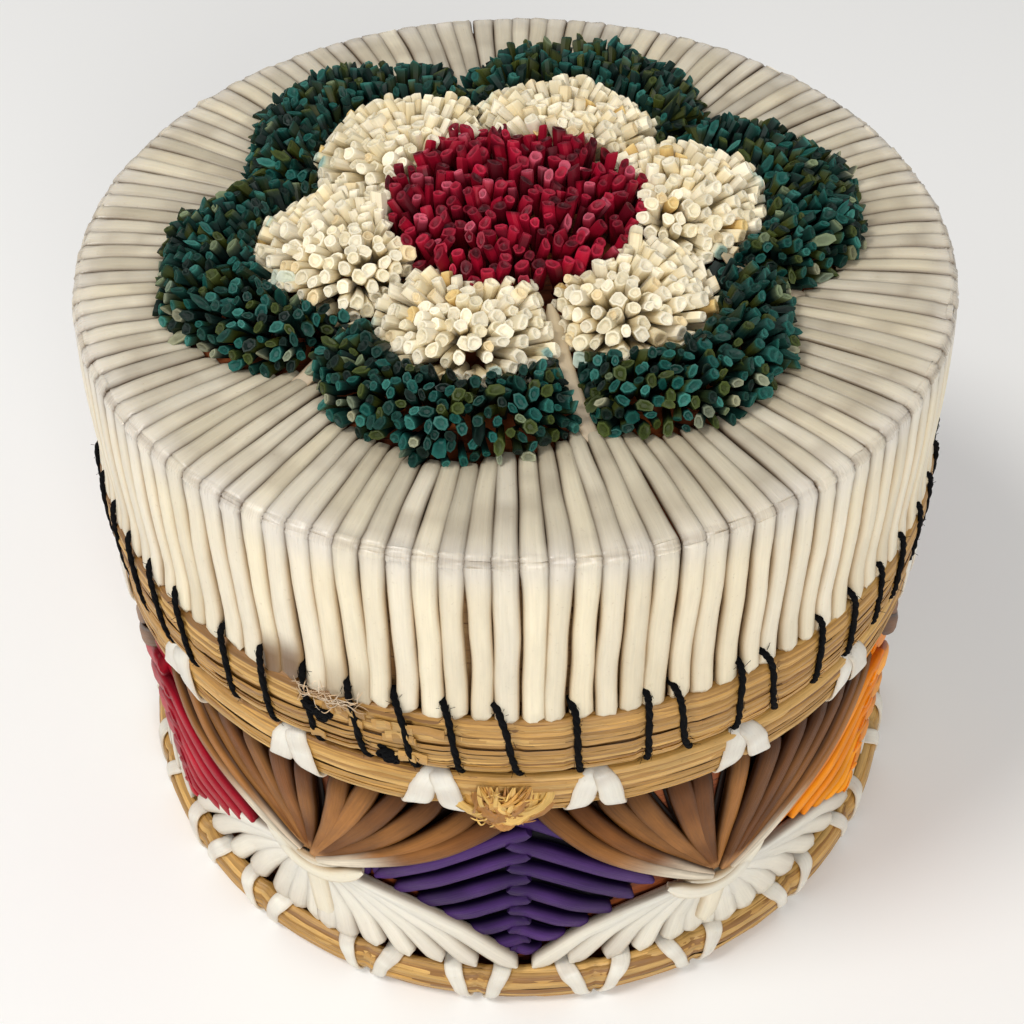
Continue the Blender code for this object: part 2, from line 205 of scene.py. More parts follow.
class Bundle:
    """Many closed strands in one mesh, with a colour and a place in the grain at each point."""

    def __init__(self):
        self.rows, self.quads, self.caps = [], [], []
        self.count = 0

    def add_rings(self, rings, paint, across, along, gloss=0.0, closed=False):
        """Strands with the same layout: rings is (strands, stations, corners, 3)."""
        shape = rings.shape[:3]
        strands, _, corners = shape
        seed = draw(0, 400, (strands, 1, 1))
        columns = [rings, np.broadcast_to(paint, rings.shape)]
        for part in (across, along, seed, gloss):
            columns.append(np.broadcast_to(part, shape)[..., None])
        self.rows.append(np.concatenate(columns, -1).reshape(-1, 10))
        index = self.count + np.arange(math.prod(shape)).reshape(shape)
        here = index if closed else index[:, :-1]
        following = np.roll(index, -1, axis=1) if closed else index[:, 1:]
        quads = [here, following, np.roll(following, -1, axis=2), np.roll(here, -1, axis=2)]
        self.quads.append(np.stack(quads, -1).reshape(-1, 4))
        if not closed:
            self.caps.append(index[:, 0].reshape(-1, corners))
            self.caps.append(index[:, -1, ::-1].reshape(-1, corners))
        self.count += index.size

    def add_strand(self, path, normal, half_width, half_height, paint, gloss=0.0,
                   section=QUILL_SECTION, closed=False, crumple=None, ragged=0.0):
        """One strand swept along a path, with its flat side facing along the normal.

        paint has a colour for the strand, for each station, or for each station and corner.
        crumple dents the strand at each station, and ragged pulls its last end about.
        """
        if closed:
            tangent = unit(np.roll(path, -1, axis=0) - np.roll(path, 1, axis=0))
        else:
            tangent = unit(np.gradient(path, axis=0))
        side = unit(np.cross(tangent, np.broadcast_to(normal, path.shape)))
        up = np.cross(side, tangent)
        across = np.broadcast_to(half_width, len(path))[:, None] * section[None, :, 0]
        rise = np.broadcast_to(half_height, len(path))[:, None] * section[None, :, 1]
        rings = path[:, None] + side[:, None] * across[..., None] + up[:, None] * rise[..., None]
        if crumple is not None:
            dent = jitter(1, rise.shape) * np.reshape(crumple, (-1, 1))
            rings = rings + up[:, None] * dent[..., None]
        if ragged:
            rings[-2:] += tangent[-1] * jitter(ragged, (1, len(section), 1))
        steps = np.linalg.norm(np.diff(path, axis=0), axis=1)
        along = np.concatenate([[0], np.cumsum(steps)])[:, None]
        if paint.ndim == 2:
            paint = paint[:, None]
        if np.ndim(gloss) == 1:
            gloss = gloss[:, None]
        self.add_rings(rings[None], paint, across, along, gloss, closed)

    def build(self, name, node, material, body, sharp=60):
        """Makes the mesh, on a body, in the place of a CAD node if one is named."""
        rows = np.concatenate(self.rows)
        colour = np.concatenate([rows[:, 3:6], np.ones((len(rows), 1))], 1)
        faces = [*self.quads, *self.caps]
        loops = np.concatenate([face.reshape(-1) for face in faces])
        totals = np.concatenate([np.full(len(face), face.shape[1]) for face in faces])
        starts = np.concatenate([[0], np.cumsum(totals)[:-1]])
        mesh = bpy.data.meshes.new(name)
        mesh.vertices.add(len(rows))
        mesh.vertices.foreach_set("co", (rows[:, :3] * MM).astype(np.float32).ravel())
        mesh.loops.add(len(loops))
        mesh.loops.foreach_set("vertex_index", loops.astype(np.int32))
        mesh.polygons.add(len(totals))
        mesh.polygons.foreach_set("loop_start", starts.astype(np.int32))
        mesh.update(calc_edges=True)
        for label, kind, field, values in (
            ("paint", "FLOAT_COLOR", "color", colour),
            ("grain", "FLOAT_VECTOR", "vector", rows[:, 6:9]),
            ("gloss", "FLOAT", "value", rows[:, 9]),
        ):
            attribute = mesh.attributes.new(label, kind, "POINT")
            attribute.data.foreach_set(field, values.astype(np.float32).ravel())
        mesh.shade_smooth()
        mesh.set_sharp_from_angle(angle=math.radians(sharp))
        mesh.materials.append(material)
        piece = link(name, mesh)
        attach(piece, body)
        if node:
            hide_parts(node)


# ---- Materials ----


class Nodes:
    """A short way to write a material's node tree."""

    def __init__(self, name):
        self.material = bpy.data.materials.new(name)
        self.material.use_nodes = True
        self.tree = self.material.node_tree
        self.shader = self.tree.nodes["Principled BSDF"]

    def put(self, socket, value):
        if isinstance(value, bpy.types.NodeSocket):
            self.tree.links.new(value, socket)
        else:
            socket.default_value = value

    def add(self, kind, values=None, **settings):
        node = self.tree.nodes.new("ShaderNode" + kind)
        for key, value in settings.items():
            setattr(node, key, value)
        for key, value in (values or {}).items():
            self.put(node.inputs[key], value)
        return node

    def math(self, operation, a, b):
        return self.add("Math", {0: a, 1: b}, operation=operation).outputs[0]

    def noise(self, vector, stretch, scale, detail, roughness):
        place = self.stretch(vector, *stretch)
        look = {"Vector": place, "Scale": scale, "Detail": detail, "Roughness": roughness}
        return self.add("TexNoise", look).outputs["Fac"]

    def remap(self, *values):
        """A value taken from one range, low and high, to another."""
        return self.add("MapRange", dict(enumerate(values))).outputs[0]

    def blend(self, factor, a, b, mode="MIX"):
        node = self.add("Mix", {0: factor, 6: a, 7: b}, data_type="RGBA", blend_type=mode)
        return node.outputs[2]

    def stretch(self, vector, x, y, z):
        return self.add("VectorMath", {0: vector, 1: (x, y, z)}, operation="MULTIPLY").outputs[0]

    def attribute(self, name, output):
        return self.add("Attribute", attribute_name=name).outputs[output]

    def set(self, **values):
        for key, value in values.items():
            self.put(self.shader.inputs[key.replace("_", " ")], value)


def painted_material(name, roughness, streaks, fleck, bump, subsurface=0.0, coat=0.0, specular=0.5,
                     deep=0.5):
    """A strand's own colour, streaked along its length, with fine ridges in its surface."""
    m = Nodes(name)
    grain = m.attribute("grain", "Vector")
    paint = m.attribute("paint", "Color")
    gloss = m.attribute("gloss", "Fac")
    fine = m.noise(grain, (5.0, 0.16, 1.0), 1.0, 4.0, 0.6)
    broad = m.noise(grain, (0.9, 0.22, 1.0), 1.0, 3.0, 0.55)
    spots = m.noise(grain, (1.6, 1.1, 1.0), 1.7, 4.0, 0.65)
    light = m.remap(fine, 0.25, 0.75, 1 - streaks, 1 + streaks * 0.6)
    shade = m.remap(broad, 0.3, 0.7, 1 - streaks * 0.8, 1 + streaks * 0.4)
    both = m.math("MULTIPLY", light, shade)
    grey = m.add("CombineColor", {0: both, 1: both, 2: both}).outputs[0]
    colour = m.blend(1.0, paint, grey, "MULTIPLY")
    dirt = m.remap(spots, 0.62, 0.78, 0.0, fleck)
    darker = m.blend(1.0, colour, (deep, deep * 0.82, deep * 0.62, 1), "MULTIPLY")
    colour = m.blend(dirt, colour, darker)
    rough = m.remap(fine, 0.2, 0.8, roughness - 0.07, roughness + 0.09)
    rough = m.math("ADD", rough, m.math("MULTIPLY", gloss, -0.2))
    height = m.math("ADD", fine, m.math("MULTIPLY", broad, 0.8))
    relief = m.add("Bump", {"Strength": bump, "Distance": 0.0001, "Height": height})
    m.set(Base_Color=colour, Roughness=rough, Normal=relief.outputs[0], Specular_IOR_Level=specular)
    if subsurface:
        m.set(Subsurface_Weight=subsurface, Subsurface_Scale=0.0012)
        m.shader.inputs["Subsurface Radius"].default_value = (1.0, 0.75, 0.5)
    if coat:
        m.set(Coat_Weight=coat, Coat_Roughness=0.25)
    return m.material


def bark_material(name, pale, dark, mark, scale=1.0, disc=False):
    """Birch bark, mottled and with short marks, level round a wall and all one way on a disc."""
    m = Nodes(name)
    where = m.add("TexCoord").outputs["Object"]
    if disc:
        bark = m.stretch(where, 1 / MM, 1 / MM, 1 / MM)
    else:
        xyz = m.add("SeparateXYZ", {0: where})
        turn = m.math("ARCTAN2", xyz.outputs[1], xyz.outputs[0])
        flat = m.stretch(where, 1, 1, 0)
        radius = m.add("VectorMath", {0: flat}, operation="LENGTH").outputs["Value"]
        around = m.math("MULTIPLY", turn, 46.0)
        up, out = (m.math("MULTIPLY", length, 1 / MM) for length in (xyz.outputs[2], radius))
        bark = m.add("CombineXYZ", {0: around, 1: up, 2: out}).outputs[0]
    mottle = m.noise(bark, (0.1 * scale, 0.28 * scale, 0.1), 1.0, 6.0, 0.6)
    fibre = m.noise(bark, (0.25 * scale, 3.2 * scale, 0.3), 1.0, 4.0, 0.6)
    lenticel = m.noise(bark, (0.16 * scale, 1.9 * scale, 0.2), 1.0, 2.0, 0.4)
    marks = m.remap(lenticel, 0.6, 0.66, 0.0, 1.0)
    darker = m.math("MULTIPLY", m.remap(fibre, 0.35, 0.7, 0.0, 1.0), 0.35)
    colour = m.blend(m.remap(mottle, 0.35, 0.65, 0.0, 1.0), (*pale, 1), (*dark, 1))
    colour = m.blend(darker, colour, (*(dark * 0.6), 1))
    colour = m.blend(m.math("MULTIPLY", marks, 0.75), colour, (*mark, 1))
    height = m.math("ADD", m.math("MULTIPLY", fibre, 0.6), m.math("MULTIPLY", marks, 0.5))
    relief = m.add("Bump", {"Strength": 0.5, "Distance": 0.00025, "Height": height})
    rough = m.remap(fibre, 0.2, 0.8, 0.52, 0.74)
    m.set(Base_Color=colour, Roughness=rough, Normal=relief.outputs[0])
    return m.material


WHITE_QUILL = painted_material("white_quill_skin", 0.42, 0.07, 0.4, 0.4, subsurface=0.15, coat=0.06)
DYED_QUILL = painted_material("dyed_quill_skin", 0.46, 0.24, 0.45, 0.5, specular=0.09)
TUFT_QUILL = painted_material(
    "tuft_quill_skin", 0.5, 0.1, 0.3, 0.3, subsurface=0.12, specular=0.25
)
GRASS_BLADE = painted_material("sweetgrass_blade", 0.46, 0.24, 0.6, 0.9, coat=0.08, deep=0.42)
THREAD_PLY = painted_material("thread_ply", 0.9, 0.35, 0.2, 0.8, specular=0.1)
RUST = srgb(176, 92, 38), srgb(112, 52, 22), srgb(62, 26, 14)
TAN = srgb(206, 166, 112), srgb(176, 128, 78), srgb(116, 74, 44)

for bark_name, tones, grain_scale, is_disc, bark_nodes in (
    ("rust_bark", RUST, 1.0, False, ("outer_wall",)),
    ("rust_bark_disc", RUST, 1.0, True, ("bottom_disc", "lid_disc")),
    ("tan_bark", TAN, 0.8, False, ("lid_wall", "inner_sleeve")),
    ("tan_bark_disc", TAN, 0.8, True, ("bottom_lining", "lid_lining")),
):
    bark_skin = bark_material(bark_name, *tones, grain_scale, is_disc)
    for bark_node in bark_nodes:
        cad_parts[bark_node].material_slots[0].material = bark_skin


# ---- The lid's white quills ----

LID_QUILLS = 120
LID_QUILL_PITCH = 360 / LID_QUILLS
FOLD_R, FOLD_BEND = 45.9, 0.8  # where a lid quill turns down, and how round the turn is
FLOWER_TURN = 12.0
CENTRE_R = 13.6
WHITE_AT, WHITE_R = 17.0, 10.4
GREEN_AT, GREEN_R = 21.4, 15.9
TOP_LIMIT = cad_box[1][2] / MM + 0.6
PETAL_DRIFT = (-2.0, -1.0, 0.0, 2.5, 3.0, -2.0)  # degrees each petal lies off its even place
PETAL_REACH = (1.1, 0.3, 0.3, 1.2, -2.1, -1.7)  # how much farther out each petal goes
NOTCH_GAP = 0.25
# The gap on each side of a petal: the next petal's side, then the other.
WIDE_NOTCHES = {3: (0.45, 0.25), 4: (0.75, 0.45), 5: (0.25, 0.75)}


def shade_edges(paint, amount, edge=QUILL_EDGE_SHADE):
    """A flat quill's colour by station and corner, with painted shade towards its two edges, where
    it curves away and meets the next quill.
    """
    edge_shade_share = amount * np.abs(QUILL_SECTION[None, :, 0]) ** 4.5
    return mix(np.atleast_2d(paint)[:, None], edge, edge_shade_share)


def flower_edge(angle):
    """How far out the flower reaches at an angle."""
    reach = 0
    for n, drift in enumerate(PETAL_DRIFT):
        off_middle = abs(wrap(angle - FLOWER_TURN - SECTOR * n - drift))
        if off_middle < 38:
            turn = math.radians(off_middle)
            middle = GREEN_AT + PETAL_REACH[n]
            chord = np.sqrt(GREEN_R**2 - (middle * np.sin(turn)) ** 2)
            reach = max(reach, middle * np.cos(turn) + chord)
    return reach


def lid_quill_lean(angle):
    """How far a lid quill's lower end leans to one side."""
    return 0.35 * math.sin(math.radians(angle * 2 + 40))


def lid_quill_paint(along, past_fold, below, fold_sheen, tone, scorch):
    """A lid quill's colours: painted shade on top, a painted highlight at the fold and painted
    shade in its crease, scorched at some lower ends.
    """
    body = mix(IVORY, mix(IVORY_WARM, IVORY_SHADE, draw(0, 0.5)), draw(0, 0.6)) * tone
    paint = mix(body, IVORY_SHADE * tone, 0.35 * smooth(9, 19, past_fold) * draw(0, 1))
    # painted shade: the top darker and greyer than the wall, in patches, as it takes less light
    on_top = smooth(0.5, -3.0, past_fold)
    paint = paint * (1.02 - (1.02 - draw(0.74, 0.95)) * on_top)[:, None]
    light_and_shade = on_top * np.clip(wander(along, 0.45, 9) + 0.1, 0, 0.7)
    paint = mix(paint, srgb(160, 146, 124) * tone, light_and_shade)
    # painted highlight: a paler, silvery band round the fold
    paint = mix(paint, srgb(220, 213, 204) * tone, 0.75 * fold_sheen * draw(0.5, 1))
    # painted shade in the fold's crease
    crease_shade = 0.45 * bell(past_fold, 0.35) * draw(0.2, 1)
    paint = mix(paint, srgb(140, 124, 106) * tone, crease_shade)
    # painted shade at the inner end, where the quill starts under the flower's edge
    paint = mix(paint, IVORY_SHADE * 0.7, draw(0.1, 0.6) * smooth(4, 0, along))
    end = along[-1]
    stain = scorch * draw(0.75, 1) * smooth(end - 7.5, end - 3.0, along)
    stain = np.maximum(stain, draw(0, 0.6) * smooth(end - 1.2, end - 0.1, along))
    paint = paint * (1 - (1 - SCORCH) * stain[:, None])
    # painted shade between the quills, darkest on top
    edge = mix(srgb(92, 72, 52), QUILL_EDGE_SHADE, below)[:, None]
    return shade_edges(paint, 0.95 - 0.1 * below[:, None], edge)


def add_lid_quill(bundle, angle, tone, scorch):
    """One quill from the flower's edge out over the lid's edge and down behind the lid's rim."""
    start = flower_edge(angle) - 1.3 + draw(-0.5, 0.6)
    end = LID_RIM_HIGH - 1.5 + draw(-0.4, 0.4)
    low, high = LID_TOP + 0.6, LID_TOP + 0.45
    top = np.linspace(0, 1, 11)
    turning = np.linspace(0, np.pi / 2, 9)[1:-1]
    down = np.linspace(0, 1, 22)
    fold = 14  # the station in the middle of the turn
    radius = np.concatenate([
        start + (FOLD_R - start) * top,
        FOLD_R + FOLD_BEND * np.sin(turning),
        FOLD_R + FOLD_BEND + 0.3 * smooth(0, 0.5, down) + 0.55 * smooth(0.74, 1, down),
    ])
    height = np.concatenate([
        low + (high + FOLD_BEND - low) * smooth(-0.3, 0.8, top),
        high + FOLD_BEND * np.cos(turning),
        high + (end - high) * down,
    ])
    along = np.concatenate([[0], np.cumsum(np.hypot(np.diff(radius), np.diff(height)))])
    past_fold = along - along[fold]
    at_fold = bell(past_fold, 1.5)
    # where the fold's painted highlight lies; it is also glossier there
    fold_sheen = bell(past_fold - 0.4, 2.3)
    below = smooth(1.0, 7.0, past_fold)
    lean = jitter(0.09) + lid_quill_lean(angle)
    offset = wander(along, 0.14, 24) + lean * smooth(0, along[-1] - along[fold], past_fold)
    offset += jitter(0.09) * smooth(2, 12, past_fold)
    path, outward = ring(np.radians(angle) + offset / np.maximum(radius, 30), radius, height)
    slope = unit(np.stack([np.gradient(radius), np.gradient(height)], 1))
    normal = outward * -slope[:, 1:2] + UP * slope[:, 0:1]
    path += normal * (jitter(0.06, len(path)) * at_fold)[:, None]
    pitch = 2 * np.pi * np.minimum(radius, FOLD_R + 0.9) / LID_QUILLS
    tip, root = taper(along[-1] - along, 0.8, 0.1), taper(along, 1.2, 0.12)
    waist = draw(0.85, 0.98)
    width = pitch * (0.525 + jitter(0.014)) * (1 - (1 - waist) * below)
    width = width * tip * (0.6 + 0.4 * root)
    width *= 1 + wander(along, 0.035, 15) + 0.03 * at_fold
    thick = (0.5 + 0.16 * below - 0.16 * at_fold) * (0.35 + 0.65 * tip) * root
    thick = thick * draw(0.92, 1.08)
    paint = lid_quill_paint(along, past_fold, below, fold_sheen, tone, scorch)
    gloss = 0.35 * at_fold + 0.4 * fold_sheen + 0.1 * below
    crumple = 0.055 * at_fold + 0.01
    bundle.add_strand(path, normal, width, thick, paint, gloss, crumple=crumple, ragged=0.22)


def make_lid_quills(n):
    bundle = Bundle()
    first = FLOWER_TURN + SECTOR * (n - 0.5)
    for i in range(LID_QUILLS // SECTORS):
        angle = first + LID_QUILL_PITCH * (i + 0.5) + jitter(0.1)
        from_front = wrap(angle - FRONT)
        scorch = 1.0 if -32.5 < from_front < -25.5 else 0.45 * (-24 < from_front < -18)
        add_lid_quill(bundle, angle, draw(0.93, 1.05), scorch)
    bundle.build(f"lid_quill_cover_{n + 1}", f"lid_quills_{n + 1}", WHITE_QUILL, "lid")


# ---- The tufted flower ----


def mound_tips(depth_at, height, slope_width, edge_height, low, high, spacing, tries):
    """Points on a mound over the lid, which falls in a quarter round at its edge, and normals.

    The points keep a spacing.  depth_at tells how deep inside the mound's outline a point lies.
    """

    def rise(x, y):
        depth = np.clip(depth_at(x, y) / slope_width, 0, 1)
        return edge_height + (height - edge_height) * np.sqrt(1 - (1 - depth) ** 2)

    x, y = draw(low, high, (tries, 2)).T
    depth = depth_at(x, y)
    at_edge = draw(0, 1, tries) < 0.5
    keep = (depth > 0.03) & (~at_edge | (depth < slope_width * 0.5))
    spots = np.stack([x[keep], y[keep], rise(x[keep], y[keep])], 1)
    kept = np.empty_like(spots)
    count = 0
    for spot in spots:
        if (((kept[:count] - spot) ** 2).sum(1) > spacing**2).all():
            kept[count] = spot
            count += 1
    kept = kept[:count]
    x, y, step = kept[:, 0], kept[:, 1], 0.15
    slope_x = (rise(x + step, y) - rise(x - step, y)) / (2 * step)
    slope_y = (rise(x, y + step) - rise(x, y - step)) / (2 * step)
    return kept, unit(np.stack([-slope_x, -slope_y, np.ones(count)], 1))


def add_stubs(bundle, tips, direction, radius, side_paint, tip_paint, flatness, slant, corners=10,
              reach=5.0, foot_tone=0.4, flare=1.0, pith=0.55):
    """Cut quill ends: tubes that come up through a mound and end in a slightly dished cut, their
    sides in painted shade towards the foot among the others.
    """
    count = len(tips)
    base = LID_TOP + 0.1
    axis = unit(direction)
    length = np.minimum((tips[:, 2] - base) / np.maximum(axis[:, 2], 0.15), reach)
    foot = tips - axis * length[:, None]
    foot[:, 2] = np.maximum(foot[:, 2], base)
    axis = unit(tips - foot)
    length = np.linalg.norm(tips - foot, axis=1)
    spin = draw(0, 2 * np.pi, count)
    across = unit(np.cross(axis, np.stack([np.cos(spin), np.sin(spin), np.full(count, 0.3)], 1)))
    other = np.cross(axis, across)
    # By station, from the foot to the middle of the cut: place, width, dish, cut's colour, shade: a
    # painted highlight round the cut's rim and painted shade in its dished middle.
    share = np.array([0.0, 0.4, 0.75, 0.94, 1.0, 1.0, 1.0])
    swell = np.array([0.72, 0.88, 1.0, flare, 0.93 * flare, 0.7 * flare, 0.36 * flare])
    drop = np.array([0.0, 0.0, 0.0, 0.0, 0.06, 0.08, -0.14])
    cut = np.array([0, 0, 0, 0.25, 0.9, 1.0, 1.0])
    shade = np.array([1, 1, 1, 1, 1.03, 0.95, pith])
    turn = np.linspace(0, 2 * np.pi, corners, endpoint=False)
    size = radius[:, None, None] * swell[None, :, None] * np.ones((1, 1, corners))
    size *= 1 + jitter(0.09, (count, 1, corners))
    x = size * np.cos(turn)
    y = size * np.sin(turn) * flatness[:, None, None]
    tilt = slant[:, None, None] * smooth(0.7, 1.0, share)[None, :, None]
    rise = (share * length[:, None] + drop * radius[:, None] * 1.4)[..., None] + tilt * x
    bow = arch(share)[None, :, None] * jitter(0.12, (count, 1, 1))
    rings = (
        foot[:, None, None]
        + axis[:, None, None] * rise[..., None]
        + across[:, None, None] * (x + bow)[..., None]
        + other[:, None, None] * y[..., None]
    )
    # painted shade: each stub's side darker towards its foot, down among the others
    side_paint = side_paint[:, None] * (foot_tone + (1 - foot_tone) * share)[:, None]
    paint = mix(side_paint, tip_paint[:, None], cut) * shade[:, None]
    bundle.add_rings(rings, paint[:, :, None], x, rise, 0.1)


def pick(count, *options):
    """Colours drawn from (colour, weight) pairs, each a little lighter or darker."""
    colours, weights = zip(*options)
    chosen = rng.choice(len(options), count, p=np.array(weights) / sum(weights))
    return np.array(colours)[chosen] * draw(0.82, 1.15, (count, 1))


def build_petal(kind, n, sharp, tips, direction, *looks, **sizes):
    """Builds a petal, which was laid out with its middle along +X, at its place in the flower."""
    angle = math.radians(FLOWER_TURN + SECTOR * n + PETAL_DRIFT[n])
    c, s = math.cos(angle), math.sin(angle)
    placed = []
    for x, y, z in (tips.T, direction.T):
        placed.append(np.stack([x * c - y * s, x * s + y * c, z], 1))
    bundle = Bundle()
    add_stubs(bundle, *placed, *looks, **sizes)
    node = f"{kind}_petal"
    name, node = f"{node}_tuft_{n + 1}", f"{node}_{n + 1}"
    bundle.build(name, node, TUFT_QUILL, "lid", sharp)


def side_depth(n, x, y):
    """Distance inside the lines that part a petal from its neighbours, less the notch's gap."""
    following = PETAL_DRIFT[(n + 1) % SECTORS] - PETAL_DRIFT[n] + SECTOR
    before = PETAL_DRIFT[n] - PETAL_DRIFT[n - 1] + SECTOR
    following, before = math.radians(following / 2), math.radians(before / 2)
    gap_following, gap_before = WIDE_NOTCHES.get(n, (NOTCH_GAP, NOTCH_GAP))
    return np.minimum(
        x * math.sin(following) - y * math.cos(following) - gap_following,
        x * math.sin(before) + y * math.cos(before) - gap_before,
    )


def white_distance(n, x, y):
    """Distance from the middle of a white petal's lobe."""
    return np.hypot(x - WHITE_AT - PETAL_REACH[n] * 0.5, y * 0.94)


def make_flower_centre():
    def depth(x, y):
        turn = np.arctan2(y, x)
        return CENTRE_R + 0.4 * np.sin(3 * turn + 1) + 0.35 * np.sin(7 * turn) - np.hypot(x, y)

    tips, _ = mound_tips(depth, 7.5, 7.0, 6.6, -15, 15, 1.3, 16000)
    count = len(tips)
    outward = np.concatenate([tips[:, :2] / CENTRE_R, np.zeros((count, 1))], 1)
    direction = UP + outward * 0.3 + jitter(0.2, (count, 3))
    tips[:, 2] = np.minimum(tips[:, 2] + LID_TOP + jitter(0.45, count), TOP_LIMIT)
    radius = draw(0.56, 0.84, count)
    side = pick(count, (srgb(146, 6, 34), 3), (srgb(98, 2, 22), 3), (srgb(176, 12, 46), 2.6))
    tip = pick(count, (srgb(172, 24, 54), 5), (srgb(130, 8, 36), 4), (srgb(204, 84, 106), 1.4),
               (srgb(88, 4, 22), 3))
    patches = np.sin(tips[:, 0] * 0.5 + 1) * np.cos(tips[:, 1] * 0.42 + 2)
    lit = (0.82 + 0.36 * smooth(0.3, 0.9, patches * 0.5 + 0.5))[:, None]
    flatness, slant = draw(0.62, 1.0, count), jitter(0.4, count)
    bundle = Bundle()
    add_stubs(bundle, tips, direction, radius, side * lit, tip * lit, flatness, slant)
    bundle.build("flower_centre_tuft", "flower_centre", TUFT_QUILL, "lid", 35)


def make_white_petal(n):
    def depth(x, y):
        wave = 0.4 * np.sin(5 * np.arctan2(y, x - 17) + n)
        lobe = WHITE_R + wave - white_distance(n, x, y)
        sides = (side_depth(n, x, y) + 0.1) * 3.6
        inner = (np.hypot(x, y) - CENTRE_R + 0.2) * 9
        return np.minimum.reduce([lobe, sides, inner])

    tips, normal = mound_tips(depth, 6.9, 6.0, 2.4, -15, 30, 1.3, 32000)
    x, y = tips[:, 0], tips[:, 1]
    count = len(tips)
    splay = np.stack([(x - 15.5) / 9.5, y / 8.0, np.zeros(count)], 1)
    direction = normal * 0.4 + splay * 1.15 + UP * 0.62 + jitter(0.13, (count, 3))
    direction[:, 2] = np.maximum(direction[:, 2], 0.15)
    tips[:, 2] += LID_TOP + jitter(0.32, count)
    radius = draw(0.6, 0.92, count)
    side = pick(count, (IVORY_WARM, 3), (srgb(232, 214, 172), 2), (srgb(246, 234, 206), 3))
    tip = pick(count, (srgb(250, 240, 214), 6), (srgb(242, 230, 198), 3),
               (srgb(236, 214, 170), 0.8))
    tanned = draw(0, 1, count) < 0.03
    side[tanned], tip[tanned] = srgb(214, 176, 106), srgb(234, 204, 140)
    stained = draw(0, 1, count) < 0.14 * smooth(8.2, 10.2, np.hypot(x - WHITE_AT, y))
    tip[stained] = mix(tip[stained], srgb(110, 176, 174), draw(0.3, 0.8, stained.sum()))
    flatness, slant = draw(0.75, 1.0, count), jitter(0.18, count)
    build_petal("white", n, 35, tips, direction, radius, side, tip, flatness, slant,
                foot_tone=0.62, pith=0.93)


def make_green_petal(n):
    middle = GREEN_AT + PETAL_REACH[n]

    def depth(x, y):
        wave = 0.4 * np.sin(9 * np.arctan2(y, x - 20) + 2 * n)
        lobe = GREEN_R + wave - np.hypot(x - middle, y * 1.01)
        sides = side_depth(n, x, y) * 1.5
        inner = (white_distance(n, x, y) - WHITE_R + 0.3) * 2.4
        return np.minimum.reduce([lobe, sides, inner, (np.hypot(x, y) - 21.0) * 2])

    tips, normal = mound_tips(depth, 5.7, 3.8, 1.0, -18, 39.5, 1.06, 70000)
    x, y = tips[:, 0], tips[:, 1]
    count = len(tips)
    outward = unit(np.stack([x - 15.5, y, np.zeros(count)], 1))
    direction = normal * 0.75 + outward * 0.6 + UP * 0.35 + jitter(0.2, (count, 3))
    direction[:, 2] = np.maximum(direction[:, 2], 0.12)
    to_edge = GREEN_R - np.hypot(x - middle, y)
    tips[:, 2] += LID_TOP + jitter(0.24, count) * smooth(0, 2, to_edge)
    tips += unit(direction) * jitter(0.18, (count, 1))
    radius = draw(0.46, 0.76, count)
    side = pick(count, (srgb(12, 44, 38), 5), (srgb(8, 28, 24), 4), (srgb(60, 66, 20), 2.6),
                (srgb(32, 44, 20), 2))
    tip = pick(count, (srgb(24, 88, 80), 5), (srgb(14, 60, 52), 5), (srgb(50, 116, 106), 1.8),
               (srgb(64, 76, 30), 2.6), (srgb(120, 134, 100), 0.4), (srgb(10, 34, 28), 3.2))
    pale = draw(0, 1, count) < 0.16 * smooth(2.0, 0.2, to_edge)
    tip[pale] = mix(tip[pale], srgb(178, 176, 144), draw(0.3, 0.8, pale.sum()))
    # painted shade on the green tips next to the white petal, which leans over them
    dark = 0.6 * smooth(1.3, 0.0, np.hypot(x - WHITE_AT, y) - WHITE_R)
    tip = mix(tip, srgb(20, 22, 12), dark)
    flatness, slant = draw(0.55, 0.95, count), jitter(0.55, count)
    build_petal("green", n, 30, tips, direction, radius, side, tip, flatness, slant,
                corners=7, reach=4.0, flare=1.12, pith=0.7)


def add_notch_quill(bundle, angle, inner, outer, rise, half):
    """A flattened quill that lies along a notch between two petals."""
    share = np.linspace(0, 1, 14)
    height = LID_TOP + 0.9 + rise * (1 - share) ** 1.5
    path, outward = ring(np.full(14, math.radians(angle)), inner + (outer - inner) * share, height)
    path += np.cross(UP, outward) * (0.35 * arch(share) * draw(-1, 1))[:, None]
    width = half * taper(share, 0.1, 0.1) * taper(1 - share, 0.08, 0.1)
    paint = shade_edges(mix(IVORY_SHADE, srgb(206, 186, 166), 0.6 * share), 0.6)
    bundle.add_strand(path, UP, width, 0.16, paint)


def make_notch_quills():
    """The flat quill in the front notch, which the CAD has, and three like it in other notches."""
    # Degrees from the front, inner and outer radius, rise at the inner end and half width.
    front = [(13.0, 15.0, 32.4, 3.4, 0.85)]
    others = [
        (-44.0, 23.0, 31.8, 3.0, 0.95), (72.5, 22.5, 31.5, 3.4, 0.9), (193.0, 19.0, 31.0, 5.2, 0.8)
    ]
    for name, node, quills in (
        ("notch_quill_splint", "notch_quill", front), ("notch_quill_others", None, others)
    ):
        bundle = Bundle()
        for from_front, *sizes in quills:
            add_notch_quill(bundle, FRONT + from_front, *sizes)
        bundle.build(name, node, WHITE_QUILL, "lid")


# ---- Sweetgrass rims ----

